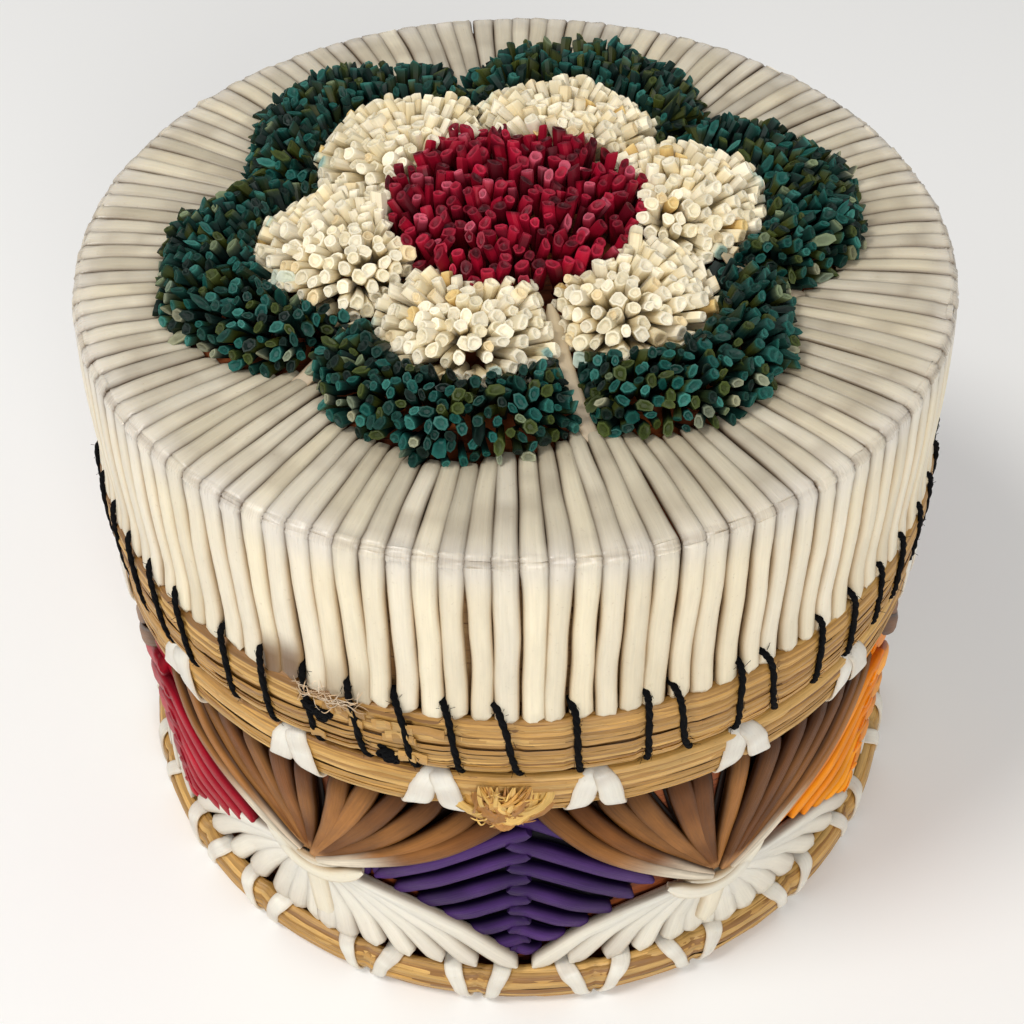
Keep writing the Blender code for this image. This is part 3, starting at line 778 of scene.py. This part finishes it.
BLADES_ROUND = 5  # blades end to end on each track round a rim
LID_STITCHES = 56
FOOT_PAIRS, FOOT_FIRST = 22, -97.0
SHOULDER_PAIRS, SHOULDER_FIRST = 18, -81.0
lid_marks = 360 / LID_STITCHES * np.arange(LID_STITCHES) + FRONT - 0.9
lid_marks += jitter(0.45, LID_STITCHES)
lid_marks[2:] += 2.2 * np.exp(-np.arange(LID_STITCHES - 2) / 9)
foot_marks = FOOT_FIRST + 360 / FOOT_PAIRS * np.arange(FOOT_PAIRS)
foot_marks += jitter(0.7, FOOT_PAIRS)
shoulder_marks = SHOULDER_FIRST + 360 / SHOULDER_PAIRS * np.arange(SHOULDER_PAIRS)
shoulder_marks += jitter(0.6, SHOULDER_PAIRS)

WORN = (FRONT - 27.0, FRONT - 12.0)  # the broken stretch at the front left of the lid's rim
WORN_R = 48.5
KNOT_R = 48.65
# By degrees from the front and height.
KNOTS = ((-25.5, 51.6), (-24.6, 50.9), (-23.9, 51.4), (-16.4, 47.6), (-15.8, 47.1))
SPLICE_AT, SPLICE_Z = FRONT - 2.2, 43.4


def face_of(rim, turn, out_power, up_power):
    """Radius and height on a rim's face, from -pi / 2 under it to pi / 2 on top."""
    inner, outer, low, high = rim
    level, rise = np.abs(np.cos(turn)), np.sin(turn)
    height = (low + high) / 2 + (high - low) / 2 * np.sign(rise) * np.abs(rise) ** up_power
    return inner + (outer - inner) * level**out_power, height


def add_rim(bundle, rim, tracks, marks, pinch, lift, width):
    """Blades of grass that run round a rim, drawn in by pinch and lift where a stitch crosses."""
    for track in range(tracks):
        share = (track + 0.5) / tracks
        first = draw(0, 360)
        for arc in range(BLADES_ROUND):
            span = 360 / BLADES_ROUND * draw(1.12, 1.5)
            start = first + 360 / BLADES_ROUND * arc
            angle = np.linspace(start, start + span, int(span * 1.25))
            off_track = np.clip(wander(angle, 0.45 / tracks, 70), -0.7 / tracks, 0.7 / tracks)
            turn = np.pi * (np.clip(share + off_track, 0.01, 0.99) - 0.5)
            radius, height = face_of(rim, turn, 0.42, 0.8)
            slope = unit(np.stack([np.cos(turn) * 1.6 + 0.05, np.sin(turn) * 0.9], -1))
            from_stitch = np.abs(wrap(angle[:, None] - marks)).min(1)
            near = bell(from_stitch, 0.75)
            radius = radius - pinch * near + draw(-0.1, 0.12) + wander(angle, 0.05, 11)
            height = height - (height - (rim[2] + rim[3]) / 2) * lift * near
            path, outward = ring(np.radians(angle), radius, height)
            normal = outward * slope[:, :1] + UP * slope[:, 1:]
            tone = GRASS[rng.choice(len(GRASS), p=[0.26, 0.26, 0.2, 0.18, 0.1])]
            tone = tone * draw(0.86, 1.12)
            # painted shade where a stitch pulls the blade in
            paint = mix(tone, tone * 0.62, smooth(0.1, 0.9, near) * 0.3)
            ends = taper(np.minimum(angle - start, start + span - angle), 1.5, 0.02)
            half = width * draw(0.75, 1.25) * ends * (1 + wander(angle, 0.08, 30))
            bundle.add_strand(path, normal, half, half * 0.42, paint, 0.1, BLADE_SECTION)


def add_core(bundle, inner, outer, low, high):
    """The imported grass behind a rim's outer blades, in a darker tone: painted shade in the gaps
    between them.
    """
    turn = np.radians(np.linspace(0, 360, 240, endpoint=False))
    path, outward = ring(turn, (inner + outer) / 2, (low + high) / 2)
    half_height, half_width = (outer - inner) / 2, (high - low) / 2
    bundle.add_strand(path, outward, half_width, half_height, GRASS[4] * 0.72,
                      section=flat_section(12, 0.5, 0.5), closed=True)


def add_frayed(bundle, angles, heights, radius, count, length, tones, width):
    """Loose curling fibres that lie over a rim."""
    share = np.linspace(0, 1, 10)
    for _ in range(count):
        outward = outward_at(math.radians(draw(*angles)))
        start = outward * radius + UP * draw(*heights)
        run = unit(np.cross(UP, outward) * jitter(1) + UP * jitter(0.45))
        curl = draw(-1.2, 1.2)
        reach = length * draw(0.4, 1.0)
        path = start + run * (share * reach)[:, None]
        path += UP * (curl * 0.5 * arch(share) * reach * 0.5)[:, None]
        path += outward * (0.15 + 0.5 * arch(share) * draw(0.1, 1))[:, None]
        tone = tones[rng.integers(len(tones))] * draw(0.85, 1.1)
        half = width * draw(0.6, 1.3) * taper(np.minimum(share, 1 - share), 0.15, 0.1)
        bundle.add_strand(path, outward, half, half * 0.6, tone, section=round_section(5))


def add_broken_grass(bundle):
    """Torn blades, pale fibres and short crossed ends where the lid's rim has frayed with wear."""
    pale = (srgb(222, 200, 172), srgb(204, 172, 134))
    add_frayed(bundle, (WORN[0], WORN[0] + 8), (53.2, 55.4), WORN_R, 60, 2.4, pale, 0.05)
    share = np.linspace(0, 1, 8)
    for n in range(15):
        angle, height, span = draw(*WORN), draw(46.5, 53.8), draw(1.6, 4.5)
        turn = np.radians(np.linspace(angle, angle + span, 8))
        radius = WORN_R + 0.45 * np.abs(share - 0.5)
        path, outward = ring(turn, radius, height + jitter(0.25) * share)
        half, tone = draw(0.45, 0.85), GRASS[n % 4] * draw(0.75, 1.05)
        bundle.add_strand(path, outward, half, 0.12, tone, 0.1, BLADE_SECTION)


def add_splice(bundle):
    """The fibrous lump at the front where the shoulder's grass begins and ends."""
    tones = (srgb(206, 152, 68), srgb(172, 116, 46), srgb(226, 182, 98))
    share = np.linspace(0, 1, 24)
    for n in range(30):
        open_by, centre = draw(0.8, 5.2), SPLICE_AT + jitter(0.7)
        waver = 1 + 0.15 * np.sin(3 * np.pi * share)
        turn = np.radians(centre - open_by * np.cos(np.pi * share) * waver)
        sag = draw(2.4, 5.6)
        radius = 46.6 + (2.0 + draw()) * arch(share) ** 0.5
        height = SPLICE_Z + jitter(0.35) - sag * arch(share) ** 0.8
        height += jitter(0.5) * (share - 0.5)
        path, outward = ring(turn, radius, height)
        half = draw(0.3, 0.75) * taper(np.minimum(share, 1 - share), 0.1, 0.05)
        tone = tones[n % 3] * draw(0.8, 1.1)
        bundle.add_strand(path, outward, half, half * 0.4, tone, 0.1, crumple=0.07)
    share = np.linspace(0, 1, 14)
    for n in range(22):
        angle = SPLICE_AT + draw(-3.6, 3.6) * (1 - share) + jitter(2.2) * share
        radius = 47.9 + 1.8 * arch(np.clip(share * 0.8 + 0.1, 0, 1))
        height = SPLICE_Z + 0.2 - share * draw(2.5, 5.6)
        path, outward = ring(np.radians(angle), radius, height)
        half = draw(0.12, 0.3) * taper(np.minimum(share, 1 - share), 0.15, 0.05)
        tone = tones[n % 3] * draw(0.8, 1.1)
        bundle.add_strand(path, outward, half, half * 0.4, tone, 0.1)
    angles = (SPLICE_AT - 2.4, SPLICE_AT + 2.4)
    add_frayed(bundle, angles, (38.2, 43.2), 49.1, 90, 2.2, tones, 0.09)


def make_rim(name, body, core, outside, blades, extra=None):
    bundle = Bundle()
    add_core(bundle, *core)
    add_rim(bundle, outside, *blades)
    if extra:
        extra(bundle)
    bundle.build(f"{name}_grass", name, GRASS_BLADE, body)


def make_rims():
    """core, outside: radii and heights; blades: tracks, stitches, pinch, lift and half width."""
    low, high = LID_RIM_LOW, LID_RIM_HIGH
    core, outside = (46.9, 48.15, low + 0.3, high - 1.1), (47.2, 48.35, low, high - 0.9)
    blades = (26, lid_marks, 0.26, 0.02, 0.3)
    make_rim("lid_rim", "lid", core, outside, blades, add_broken_grass)
    low, high = SHOULDER_LOW, SHOULDER_HIGH
    core, outside = (46.9, 47.75, low + 0.4, high - 0.2), (47.0, 48.1, low - 0.2, high + 0.3)
    blades = (14, shoulder_marks, 0.35, 0.1, 0.38)
    make_rim("shoulder_rim", "basket", core, outside, blades, add_splice)
    low, high = FOOT_LOW, FOOT_HIGH
    core, outside = (47.0, 49.25, low + 0.4, high - 0.4), (47.0, 49.55, low - 0.4, high + 0.2)
    make_rim("foot_rim", "basket", core, outside, (15, foot_marks, 0.3, 0.06, 0.42))


# ---- Thread and splints over the rims ----


def over_rim(angle, *rim):
    """A path out above a rim, across its face and in below it, with an angle for each station."""
    turn = np.pi * (0.5 - np.linspace(0, 1, len(angle)))
    path, outward = ring(np.radians(angle), *face_of(rim, turn, 0.36, 0.75))
    out, up = np.abs(np.cos(turn)) + 0.15, 0.8 * np.sin(turn)
    return path, unit(outward * out[:, None] + UP * up[:, None])


def add_stitch(bundle, mark):
    """A stitch of two twisted plies, from a gap between two lid quills down over the rim."""
    count = 34
    lean = rng.normal(2.1, 0.45)
    gap = LID_QUILL_PITCH * round((mark - lean / 2) / LID_QUILL_PITCH)
    gap += math.degrees(lid_quill_lean(mark) / 47)
    angle = np.linspace(gap, mark + lean / 2, count)
    face = 48.55 + draw(-0.05, 0.1)
    path, normal = over_rim(angle, 46.9, face, LID_RIM_LOW - 0.3, LID_RIM_HIGH + 1.5)
    side = unit(np.cross(unit(np.gradient(path, axis=0)), normal))
    path = path + side * wander(np.linspace(0, 10, count), 0.1, 7)[:, None]
    twist = np.linspace(0, 2 * np.pi * 5.0, count) + draw(0, 6)
    for ply in (0, np.pi):
        offset = side * (0.13 * np.cos(twist + ply))[:, None]
        offset = offset + normal * (0.1 * np.sin(twist + ply))[:, None]
        tone = THREAD * draw(0.7, 1.3)
        bundle.add_strand(path + offset, normal, 0.28, 0.24, tone, section=round_section(8))
    for _ in range(16):
        at = rng.integers(4, count - 4)
        root = path[at] + side[at] * rng.choice([-0.5, 0.5])
        reach = side[at] * jitter(1) + normal[at] * 0.35 + UP * jitter(0.8)
        hair = root + unit(reach) * np.linspace(0, 1, 4)[:, None] * draw(0.3, 0.9)
        bundle.add_strand(hair, normal[at], 0.03, 0.03, THREAD, section=round_section(3))


def make_lid_thread():
    bundle = Bundle()
    for mark in lid_marks:
        add_stitch(bundle, mark)
    round_knot = np.linspace(0, 2 * np.pi, 9)
    for angle, height in KNOTS:
        for _ in range(9):
            outward = outward_at(math.radians(FRONT + angle + draw(-0.5, 0.5)))
            knot = outward * KNOT_R + UP * (height + draw(-0.5, 0.5))
            across = 0.6 * np.cos(round_knot + draw(0, 6))
            loop = knot + np.cross(UP, outward) * across[:, None]
            loop = loop + UP * (0.45 * np.sin(round_knot))[:, None]
            loop = loop + outward * draw(-0.1, 0.2)
            bundle.add_strand(loop, outward, 0.17, 0.15, THREAD, section=round_section(6))
    bundle.build("lid_rim_whipping", "lid_rim_thread", THREAD_PLY, "lid", 70)


def make_splints(rim, marks, top, bottom, inner, faces, low, high, half, shape, waver):
    """White quill splints laid over a rim in leaning pairs.

    top, bottom: how far each splint's ends lie from the pair's mark, as middle and spread.
    faces: the radius over which each splint of a pair crosses the rim.
    """
    share = np.linspace(0, 1, 26)
    bundle = Bundle()
    for mark in marks:
        for side, face in zip((-1, 1), faces):
            start, end = side * rng.normal(*top), side * rng.normal(*bottom)
            angle = mark + (start + (end - start) * share)
            path, normal = over_rim(angle, inner, face, low, high)
            width = draw(*half) * shape * (1 + wander(share * 20, *waver))
            tone = draw(0.94, 1.04)
            shade = 0.5 * np.abs(wander(share * 20, 1, 17))
            paint = shade_edges(mix(CHALK * tone, CHALK_SHADE * tone, shade), 0.4)
            bundle.add_strand(path, normal, width, 0.24, paint, 0.1)
    bundle.build(f"{rim}_splints", f"{rim}_binding", WHITE_QUILL, "basket")


def make_all_splints():
    share = np.linspace(0, 1, 26)
    make_splints(
        "foot_rim", foot_marks, (3.7, 0.4), (0.75, 0.2), 46.9, (49.85, 49.85),
        FOOT_LOW - 0.35, FOOT_HIGH + 0.75, (1.05, 1.3), 1 - 0.5 * share, (0.05, 12),
    )
    make_splints(
        "shoulder_rim", shoulder_marks, (0.1, 0.3), (3.2, 0.35), 46.3, (48.3, 48.55),
        SHOULDER_LOW - 0.6, SHOULDER_HIGH + 0.35, (1.25, 1.5), 0.75 + 0.25 * arch(share), (0.06, 9),
    )


# ---- Quillwork on the wall ----

HUB_Z = 18.6  # where a sector's two fans meet
HUB_RISE = (0.0, 0.4, -0.3, 0.0, 1.4, -2.0)  # how much higher or lower each fan's meeting point is
HUB_SHIFT = (0.0, 0.3, 0.2, -0.3, -0.4, -1.2)  # and how far along the wall
SECTOR_WIDTH = 2 * math.pi * WALL_R / SECTORS
DIAMOND_TOP, DIAMOND_SIDE, DIAMOND_BOTTOM, DIAMOND_HALF = 38.2, 20.4, 5.2, 19.0


def add_wall_quill(bundle, angle, line, width, lift, paint, thick, gloss):
    """A quill along a line of points on the wall, given as (along, height) from an angle."""
    turn = np.radians(angle) + line[:, 0] / WALL_R
    path, outward = ring(turn, WALL_R + lift, line[:, 1])
    bundle.add_strand(path, outward, width, thick, paint, gloss)


def curve(start, end, sag, count):
    """A line between two points that bows sideways by sag, and the share of it at each station."""
    share = np.linspace(0, 1, count)
    start, end = np.array(start, float), np.array(end, float)
    run = end - start
    across = np.array([-run[1], run[0]]) / np.linalg.norm(run)
    return start + share[:, None] * run + across * (sag * arch(share))[:, None], share


def fan_lines(n, quills, count, reach, power, root, height_at, bow_at):
    """The lines of a fan's quills from near its meeting point, the outermost quill first."""
    hub, hub_z = HUB_SHIFT[n], HUB_Z + HUB_RISE[n]
    order = sorted(range(quills), key=lambda i: -abs(i - (quills - 1) / 2))
    for place, i in enumerate(order):
        spread = 2 * i / (quills - 1) - 1
        side, out = np.sign(spread), abs(spread)
        along = reach[0] * side * out**power + jitter(reach[1])
        end = (along, height_at(out))
        start = (hub + along * root[0], hub_z + root[1])
        yield place % 2, out, *curve(start, end, bow_at(side, out), count)


def make_brown_fan(n):
    def height_at(out):
        return SHOULDER_LOW - 0.4 + jitter(0.5) - 0.9 * out**6

    def bow_at(side, out):
        return -side * (0.3 + 0.8 * out**1.5) + jitter(0.2)

    reach = (SECTOR_WIDTH / 2 - 0.5, 0.3)
    lines = fan_lines(n, 13, 26, reach, 0.95, (0.06, 0.8), height_at, bow_at)
    bundle = Bundle()
    for over, out, line, share in lines:
        # painted shadow: a dark strand under each quill, seen in the gaps between them
        under = 1.5 * smooth(-0.1, 0.5, share) + 0.2
        add_wall_quill(bundle, SECTOR * n, line, under, 0.25, BROWN_SHADE * 0.35, 0.2, 0.1)
        swell = np.sin(np.pi * np.clip(share * 0.66 + 0.01, 0, 1)) ** 0.8
        width = 0.36 + draw(0.92, 1.16) * swell
        width *= 1 + wander(share * 20, 0.03, 14)
        width *= taper(1 - share, 0.06, 0.3)
        lift = 0.75 + 0.55 * over + 0.35 * arch(share) + 0.4 * smooth(0.35, 0, share)
        lift -= 0.45 * smooth(0.85, 1, share)
        tone = mix(BROWN, BROWN_LIGHT, draw(0, 1) ** 1.4) * draw(0.66, 1.15)
        outermost = smooth(0.62, 0.95, out)
        lift += 0.95 * outermost * (1 - 0.5 * over) * smooth(1.0, 0.6, share)
        pale_to = draw(0.06, 0.16) + 0.4 * outermost
        pale = mix(BROWN_LIGHT * 1.2, IVORY, 0.1 + 0.8 * outermost)
        paint = mix(pale, tone, smooth(pale_to * 0.35, pale_to, share))
        lit = 0.5 * bell(share - draw(0.35, 0.6), 0.16) * draw(0, 1)
        paint = mix(paint, BROWN_LIGHT * 1.1, lit)
        # painted shade at the quill's end, tucked under the shoulder's rim
        paint = mix(paint, BROWN_SHADE, 0.75 * smooth(0.72, 1.0, share))
        paint = shade_edges(paint, 1.0, BROWN_SHADE)
        add_wall_quill(bundle, SECTOR * n, line, width, lift, paint, 0.75, 0.5)
    name, node = f"brown_fan_quills_{n + 1}", f"brown_fan_{n + 1}"
    bundle.build(name, node, DYED_QUILL, "basket")


def make_white_fan(n):
    def height_at(out):
        return FOOT_HIGH + 0.55 + 0.7 * out + jitter(0.25)

    def bow_at(side, out):
        return side * (0.2 + 1.7 * out**1.6) + jitter(0.12)

    reach = (SECTOR_WIDTH / 2 - 0.9, 0.25)
    lines = fan_lines(n, 14, 28, reach, 1.25, (0.12, -0.6), height_at, bow_at)
    bundle = Bundle()
    for over, out, line, share in lines:
        if out < 0.8:
            under = 1.6 * smooth(-0.2, 0.5, share) * taper(0.92 - share, 0.05, 0.01)
            shade = srgb(176, 160, 140)
            add_wall_quill(bundle, SECTOR * n, line, under, 0.3, shade, 0.3, 0.1)
        widest = draw(1.4, 1.62) + 0.3 * (1 - out)
        width = 0.5 + (widest - 0.5) * smooth(0, 0.6, share)
        width *= taper(1 - share, 0.06, 0.04)
        lift = 0.7 + 0.4 * over + 0.3 * arch(share) + 0.3 * smooth(0.35, 0, share)
        lift += 1.0 * smooth(0.6, 1.0, share)
        tone = draw(0.93, 1.05)
        paint = mix(CHALK * tone, IVORY_WARM * tone, 0.25 * share)
        paint = mix(paint, CHALK_SHADE, 0.6 * smooth(0.55, 1, share) * draw(0, 1))
        paint = shade_edges(paint, 0.9, srgb(134, 118, 100))
        add_wall_quill(bundle, SECTOR * n, line, width, lift, paint, 0.75, 0.2)
    bundle.build(f"white_fan_quills_{n + 1}", f"white_fan_{n + 1}", WHITE_QUILL, "basket")


def make_fan_tie(n):
    """A sash of quills wound across the fans' meeting point, with one broad quill hanging down."""
    hub, hub_z = HUB_SHIFT[n], HUB_Z + HUB_RISE[n]
    flip = -1 if n % 2 else 1
    bundle = Bundle()
    for start, end, sag, half, lift in (  # the ends are taken from the meeting point
        ((-6.2, 4.4), (5.0, 0.2), -2.6, 1.15, 2.5),
        ((-5.0, 2.0), (6.4, 0.8), -2.4, 1.15, 2.8),
        ((-4.6, 0.4), (3.8, -1.0), -1.0, 1.0, 2.2),
    ):
        start, end = ((hub + flip * along, hub_z + up) for along, up in (start, end))
        line, share = curve(start, end, flip * (sag + jitter(0.1)), 24)
        width = half * taper(np.minimum(share * 0.7, 1 - share), 0.1, 0.06)
        rise = lift - 1.2 * (1 - arch(share)) ** 1.8
        paint = mix(IVORY_WARM, CHALK, draw(0.2, 0.8)) * draw(0.93, 1.0)
        paint = shade_edges(paint, 0.9)
        add_wall_quill(bundle, SECTOR * n, line, width, rise, paint, 0.6, 0.3)
    end = (hub + flip * rng.normal(0.9, 0.5), FOOT_HIGH + 2.2)
    line, share = curve((hub + flip * 0.2, hub_z + 0.2), end, jitter(0.3), 20)
    width = 1.5 * taper(share, 0.1, 0.1) * taper(1 - share, 0.1, 0.05)
    paint = shade_edges(mix(IVORY_WARM, CHALK, 0.5) * draw(0.93, 1.0), 0.6)
    add_wall_quill(bundle, SECTOR * n, line, width, 1.9, paint, 0.6, 0.2)
    bundle.build(f"fan_tie_quills_{n + 1}", f"fan_tie_{n + 1}", WHITE_QUILL, "basket")


def make_diamond(n):
    """Two columns of quills that rise to the middle line, each over the end of the one above."""
    colour, light, dark = DYES[n % 3]
    purple = colour == "purple"
    rows = 7
    half_quill, depth = (1.18, 0.8) if purple else (1.75, 1.55)
    steepest, shallowest = (0.96, 0.6) if purple else (1.0, 0.88)
    shadow = dark * (0.05 if purple else 0.3)
    # painted shade at the diamond quills' edges
    edge_shade_tone = dark * (0.3 if purple else 0.6)
    angle = FRONT + SECTOR * n - 0.6
    upper = (DIAMOND_TOP - DIAMOND_SIDE) / DIAMOND_HALF
    lower = (DIAMOND_SIDE - DIAMOND_BOTTOM) / DIAMOND_HALF
    pitch = (DIAMOND_TOP - DIAMOND_BOTTOM - 1.6) / rows
    along = np.linspace(0, 1, 24)
    bundle = Bundle()

    def lay(side, apex, over, half_width, lift, thick, paint):
        """A quill from one side of the diamond up to the middle line at apex, and over it."""
        down = (DIAMOND_TOP - apex) / (DIAMOND_TOP - DIAMOND_BOTTOM)
        rise_rate = upper * (steepest + (shallowest - steepest) * min(down, 1))
        half = (apex - DIAMOND_BOTTOM) / (rise_rate + lower) - 0.4
        if half < 1.3:
            return
        start, end = (side * half, apex - rise_rate * half), (-side * over, apex + rise_rate * over)
        line, share = curve(start, end, -side * 0.06 * half * draw(0.6, 1.4), 24)
        width = half_width * (1 + wander(share * 20, 0.05, 15))
        width = width * taper(share, 0.07, 0.12) * taper(1 - share, 0.03, 0.35)
        rise = lift + 0.25 * arch(share) + 0.4 * smooth(0.8, 1.0, share)
        rise = rise - 0.6 * smooth(0.45, 0, share)
        add_wall_quill(bundle, angle, line, width, rise, paint, thick, 0.35)

    sides = (-1, 1)
    places = [(row, side, pitch * (row + (side > 0) / 2)) for row in range(rows) for side in sides]
    for row, side, down in places:
        lay(side, DIAMOND_TOP - 1.3 - pitch / 2 - down, -0.6, half_quill * 1.4, 0.2, 0.3, shadow)
    for row, side, down in places:
        apex = DIAMOND_TOP - 0.6 - down + jitter(0.15)
        tone = mix(light, dark, draw(0, 0.55)) * draw(0.85, 1.12)
        # a painted highlight: a lighter streak along some quills
        highlight_at, light_and_shade = draw(0.2, 0.8), draw(0, 0.35)
        paint = mix(tone, dark, 0.4 * smooth(0.75, 1.0, along))
        paint = shade_edges(mix(paint, light * 1.35, light_and_shade * bell(along - highlight_at, 0.15)), 1.0, edge_shade_tone)
        lift = depth * (0.5 if row == 0 else 1)
        lay(side, apex, 1.1, half_quill * draw(0.9, 1.06), lift, 0.85, paint)
    for side in sides:
        for extra in range(6 if purple else 3):
            at = side * (DIAMOND_HALF - 1.6 - 1.25 * extra)
            top = DIAMOND_SIDE + (DIAMOND_HALF - abs(at)) * upper
            line, share = curve((at + side * 0.4, top - 3.6), (at - side * 0.5, top + 0.4), 0.1, 12)
            width = 0.55 * taper(np.minimum(share, 1 - share), 0.15, 0.1)
            paint = shade_edges(mix(light, dark, draw(0.2, 0.9)), 0.6, dark * 0.5)
            add_wall_quill(bundle, angle, line, width, 0.5, paint, 0.35, 0.1)
    turn = n // 3 + 1
    name, node = f"{colour}_chevron_quills_{turn}", f"{colour}_chevrons_{turn}"
    bundle.build(name, node, DYED_QUILL, "basket")


for sector in range(SECTORS):
    make_lid_quills(sector)
make_flower_centre()
for sector in range(SECTORS):
    make_white_petal(sector)
    make_green_petal(sector)
make_notch_quills()
make_rims()
make_lid_thread()
make_all_splints()
for sector in range(SECTORS):
    make_brown_fan(sector)
    make_white_fan(sector)
    make_fan_tie(sector)
    make_diamond(sector)


# ---- Stage ----


def make_floor():
    mesh = bpy.data.meshes.new("floor")
    mesh.from_pydata([(-3, -3, 0), (3, -3, 0), (3, 3, 0), (-3, 3, 0)], [], [(0, 1, 2, 3)])
    m = Nodes("floor_paper")
    m.set(Base_Color=(0.94, 0.94, 0.93, 1), Roughness=0.85)
    mesh.materials.append(m.material)
    link("floor", mesh)


def make_lamp(name, place, size, power, colour=(1, 1, 1)):
    """A round lamp at a place in metres, aimed at the basket's middle."""
    light = bpy.data.lights.new(name, "AREA")
    light.shape, light.size, light.energy, light.color = "DISK", size, power, colour
    lamp = link(name, light)
    lamp.location = place
    toward = np.array([0, 0, 0.04]) - place
    lamp.rotation_euler = Vector(toward).to_track_quat("-Z", "Y").to_euler()


def make_stage():
    make_floor()
    world = bpy.data.worlds.new("studio")
    world.use_nodes = True
    background = world.node_tree.nodes["Background"].inputs
    background["Color"].default_value = (1, 1, 1, 1)
    background["Strength"].default_value = 0.45
    bpy.context.scene.world = world
    make_lamp("key", (-0.32, -0.14, 0.7), 0.2, 2.1, (1.0, 0.975, 0.94))
    make_lamp("fill", (0.15, -0.7, 0.4), 0.3, 2.5, (1.0, 0.985, 0.96))
    make_lamp("back", (-0.5, -0.2, 0.45), 0.4, 0.5)
    bpy.context.scene.view_settings.view_transform = "Standard"
    bpy.context.scene.view_settings.look = "None"


def make_camera():
    """The view: 46 degrees above the front, from about 20 cm."""
    distance, elevation, roll = 206.1 * MM, math.radians(46.24), math.radians(-0.796)
    target = np.array([-0.68, 0, 33.45]) * MM
    back = np.array([0, -math.cos(elevation), math.sin(elevation)])
    level, rise = np.array([1.0, 0, 0]), np.array([0, math.sin(elevation), math.cos(elevation)])
    x = math.cos(roll) * level + math.sin(roll) * rise
    y = -math.sin(roll) * level + math.cos(roll) * rise
    data = bpy.data.cameras.new("camera")
    data.lens, data.sensor_width = 57.27, 36.0
    data.clip_start, data.clip_end = 0.01, 20.0
    camera = link("camera", data)
    columns = np.stack([x, y, back, target + back * distance], 1)
    camera.matrix_world = Matrix([*columns, [0, 0, 0, 1]])
    bpy.context.scene.camera = camera


make_stage()
make_camera()
